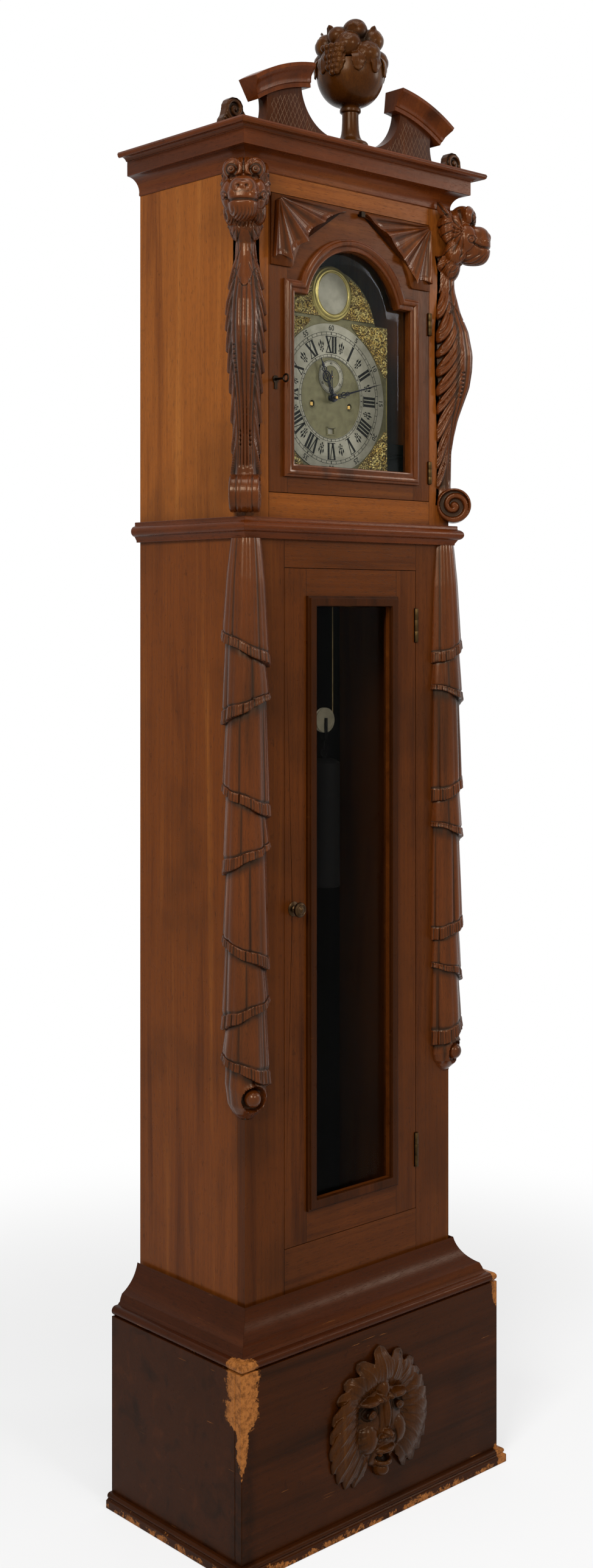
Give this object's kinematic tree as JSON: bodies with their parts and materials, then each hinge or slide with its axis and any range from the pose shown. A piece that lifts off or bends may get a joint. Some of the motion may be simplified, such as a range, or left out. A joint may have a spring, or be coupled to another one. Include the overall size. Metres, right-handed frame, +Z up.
{
  "type": "longcase clock",
  "caption": "Longcase clock with a sliding arched-dial hood on lion brackets, broken pediment with fruit urn, glazed trunk door, draped corners and carved mask base.",
  "frame": {"origin": "middle of the underside of the plinth, at floor level", "axes": "+Z up, +X to the viewer's right when facing the dial, +Y back into the case"},
  "size_m": [0.638, 0.3789, 2.5647],
  "materials": {
    "case_wood": "satin varnish over orange-brown straight grain, mouldings a little redder",
    "dark_wood": "darkened varnish, near black in the hollows, worn to bare wood at the corners",
    "carved_wood": "glossy red-brown varnish over carving",
    "dial_brass": "cast and gilt, with a matted ground",
    "silvered": "silvered brass with black wax numerals",
    "movement_brass": "brushed brass",
    "blued_steel": "dark blued steel",
    "old_brass": "tarnished brass",
    "knob": "dark turned brass",
    "glass": "old clear glass, a little green",
    "cast_weight": "near-black cast iron",
    "gut": "pale natural gut"
  },
  "bodies": {
    "case": {"backboard": "dark_wood", "trunk_sides": "case_wood", "trunk_front": "case_wood", "trunk_swags": "carved_wood", "waist_moulding": "case_wood", "base_cove": "dark_wood", "base_box": "dark_wood", "base_mask": "carved_wood", "plinth_moulding": "dark_wood", "seatboard": "dark_wood", "dial_plate": "dial_brass", "dial_rings": "silvered", "dial_mounts": "dial_brass", "movement_frame": "movement_brass", "bell": "movement_brass", "trunk_hinges": "old_brass", "line_left": "gut", "line_right": "gut"},
    "going_barrel": {"going_barrel": "movement_brass"},
    "great_wheel": {"great_wheel": "movement_brass"},
    "centre": {"centre_wheel": "movement_brass", "minute_hand": "blued_steel"},
    "third": {"third_wheel": "movement_brass"},
    "escape": {"escape_wheel": "movement_brass", "seconds_hand": "blued_steel"},
    "anchor": {"anchor": "blued_steel"},
    "pendulum": {"pendulum_rod": "movement_brass", "pendulum_bob": "movement_brass"},
    "minute_wheel": {"minute_wheel": "movement_brass"},
    "hour": {"hour_hand": "blued_steel"},
    "date_ring": {"date_ring": "silvered"},
    "strike_barrel": {"strike_barrel": "movement_brass"},
    "strike_wheel": {"strike_wheel": "movement_brass"},
    "pin_wheel": {"pin_wheel": "movement_brass"},
    "hammer": {"hammer": "blued_steel"},
    "pulley_left": {"pulley_left": "movement_brass"},
    "pulley_right": {"pulley_right": "movement_brass"},
    "weight_left": {"weight_left": "cast_weight"},
    "weight_right": {"weight_right": "cast_weight"},
    "hood": {"hood_carcase": "case_wood", "hood_face": "case_wood", "cornice": "dark_wood", "lion_brackets": "carved_wood", "pediment_board": "dark_wood", "pediment_moulding": "dark_wood", "urn": "carved_wood", "urn_fruit": "carved_wood", "hood_hinges": "old_brass"},
    "hood_door": {"hood_door_frame": "case_wood", "hood_door_moulding": "carved_wood", "hood_door_glass": "glass", "hood_wings": "carved_wood", "hood_lock": "old_brass", "hood_door_leaves": "old_brass"},
    "hood_key": {"hood_key": "old_brass"},
    "trunk_door": {"trunk_door_frame": "case_wood", "trunk_door_moulding": "carved_wood", "trunk_door_glass": "glass", "trunk_door_leaves": "old_brass"},
    "trunk_knob": {"trunk_knob": "knob"}
  },
  "joints": [
    {"name": "hood_slide", "type": "slide", "parent": "case", "child": "hood", "axis": [0, -1, 0], "range_m": [0, 0.3]},
    {"name": "hood_door_hinge", "type": "hinge", "parent": "hood", "child": "hood_door", "pos_m": [0.1935, -0.104, 1.742], "axis": [0, 0, 1], "range_deg": [0, 95]},
    {"name": "hood_key_turn", "type": "hinge", "parent": "hood_door", "child": "hood_key", "pos_m": [-0.179, -0.103, 1.929], "axis": [0, 1, 0], "range_deg": [-90, 90]},
    {"name": "trunk_door_hinge", "type": "hinge", "parent": "case", "child": "trunk_door", "pos_m": [0.1585, -0.104, 0.479], "axis": [0, 0, 1], "range_deg": [0, 105]},
    {"name": "trunk_knob_turn", "type": "hinge", "parent": "trunk_door", "child": "trunk_knob", "pos_m": [-0.138, -0.103, 1.04523], "axis": [0, 1, 0], "range_deg": [0, 90]},
    {"name": "centre_arbor", "type": "hinge", "parent": "case", "child": "centre", "pos_m": [0, -0.0245, 1.917], "axis": [0, 1, 0], "continuous": true},
    {"name": "great_wheel_turn", "type": "hinge", "parent": "case", "child": "great_wheel", "pos_m": [0.045, -0.0245, 1.90415], "axis": [0, 1, 0], "continuous": true},
    {"name": "third_arbor", "type": "hinge", "parent": "case", "child": "third", "pos_m": [-0.01609, -0.0245, 1.93893], "axis": [0, 1, 0], "continuous": true},
    {"name": "escape_arbor", "type": "hinge", "parent": "case", "child": "escape", "pos_m": [0, -0.0245, 1.954], "axis": [0, 1, 0], "continuous": true},
    {"name": "minute_wheel_turn", "type": "hinge", "parent": "case", "child": "minute_wheel", "pos_m": [0.02036, -0.0245, 1.89664], "axis": [0, 1, 0], "continuous": true},
    {"name": "hour_pipe", "type": "hinge", "parent": "case", "child": "hour", "pos_m": [0, -0.0245, 1.917], "axis": [0, 1, 0], "continuous": true},
    {"name": "date_ring_turn", "type": "hinge", "parent": "case", "child": "date_ring", "pos_m": [0, -0.049, 1.917], "axis": [0, 1, 0], "continuous": true},
    {"name": "pendulum_swing", "type": "hinge", "parent": "case", "child": "pendulum", "pos_m": [0, 0.0715, 1.983], "axis": [0, 1, 0], "range_deg": [-3, 3]},
    {"name": "anchor_rock", "type": "hinge", "parent": "case", "child": "anchor", "pos_m": [0, 0.0385, 1.978], "axis": [0, 1, 0], "range_deg": [-3, 3]},
    {"name": "strike_wheel_turn", "type": "hinge", "parent": "case", "child": "strike_wheel", "pos_m": [-0.045, -0.0245, 1.90415], "axis": [0, 1, 0], "continuous": true},
    {"name": "pin_wheel_turn", "type": "hinge", "parent": "case", "child": "pin_wheel", "pos_m": [-0.05916, -0.0245, 1.94305], "axis": [0, 1, 0], "continuous": true},
    {"name": "hammer_lift", "type": "hinge", "parent": "case", "child": "hammer", "pos_m": [-0.046, -0.0245, 1.979], "axis": [0, 1, 0], "range_deg": [-12, 0], "stiffness_Nm_per_rad": 0.6, "springref_deg": 3.44},
    {"name": "weight_right_run", "type": "slide", "parent": "case", "child": "weight_right", "axis": [0, 0, 1], "range_m": [-0.5, 0], "deforming": ["line_right"]},
    {"name": "going_barrel_turn", "type": "hinge", "parent": "case", "child": "going_barrel", "pos_m": [0.045, -0.0245, 1.90415], "axis": [0, 1, 0], "range_deg": [-2311, 2311]},
    {"name": "pulley_right_turn", "type": "hinge", "parent": "weight_right", "child": "pulley_right", "pos_m": [0.049, 0.019, 1.349], "axis": [0, 1, 0], "range_deg": [-1381, 1381]},
    {"name": "weight_left_run", "type": "slide", "parent": "case", "child": "weight_left", "axis": [0, 0, 1], "range_m": [-0.5, 0], "deforming": ["line_left"]},
    {"name": "strike_barrel_turn", "type": "hinge", "parent": "case", "child": "strike_barrel", "pos_m": [-0.045, -0.0245, 1.90415], "axis": [0, 1, 0], "range_deg": [-2311, 2311]},
    {"name": "pulley_left_turn", "type": "hinge", "parent": "weight_left", "child": "pulley_left", "pos_m": [-0.049, 0.019, 1.349], "axis": [0, 1, 0], "range_deg": [-1381, 1381]}
  ],
  "couplings": [
    {"joint": "great_wheel_turn", "follows": "centre_arbor", "ratio": -0.083333},
    {"joint": "third_arbor", "follows": "centre_arbor", "ratio": -7.5},
    {"joint": "escape_arbor", "follows": "centre_arbor", "ratio": 60},
    {"joint": "minute_wheel_turn", "follows": "centre_arbor", "ratio": -1},
    {"joint": "hour_pipe", "follows": "centre_arbor", "ratio": 0.083333},
    {"joint": "date_ring_turn", "follows": "centre_arbor", "ratio": 0.001344},
    {"joint": "anchor_rock", "follows": "pendulum_swing", "ratio": 1},
    {"joint": "pin_wheel_turn", "follows": "strike_wheel_turn", "ratio": -10.5},
    {"joint": "going_barrel_turn", "follows": "weight_right_run", "rad_per_m": -80.321},
    {"joint": "pulley_right_turn", "follows": "weight_right_run", "rad_per_m": -47.847},
    {"joint": "strike_barrel_turn", "follows": "weight_left_run", "rad_per_m": 80.321},
    {"joint": "pulley_left_turn", "follows": "weight_left_run", "rad_per_m": 47.847}
  ]
}
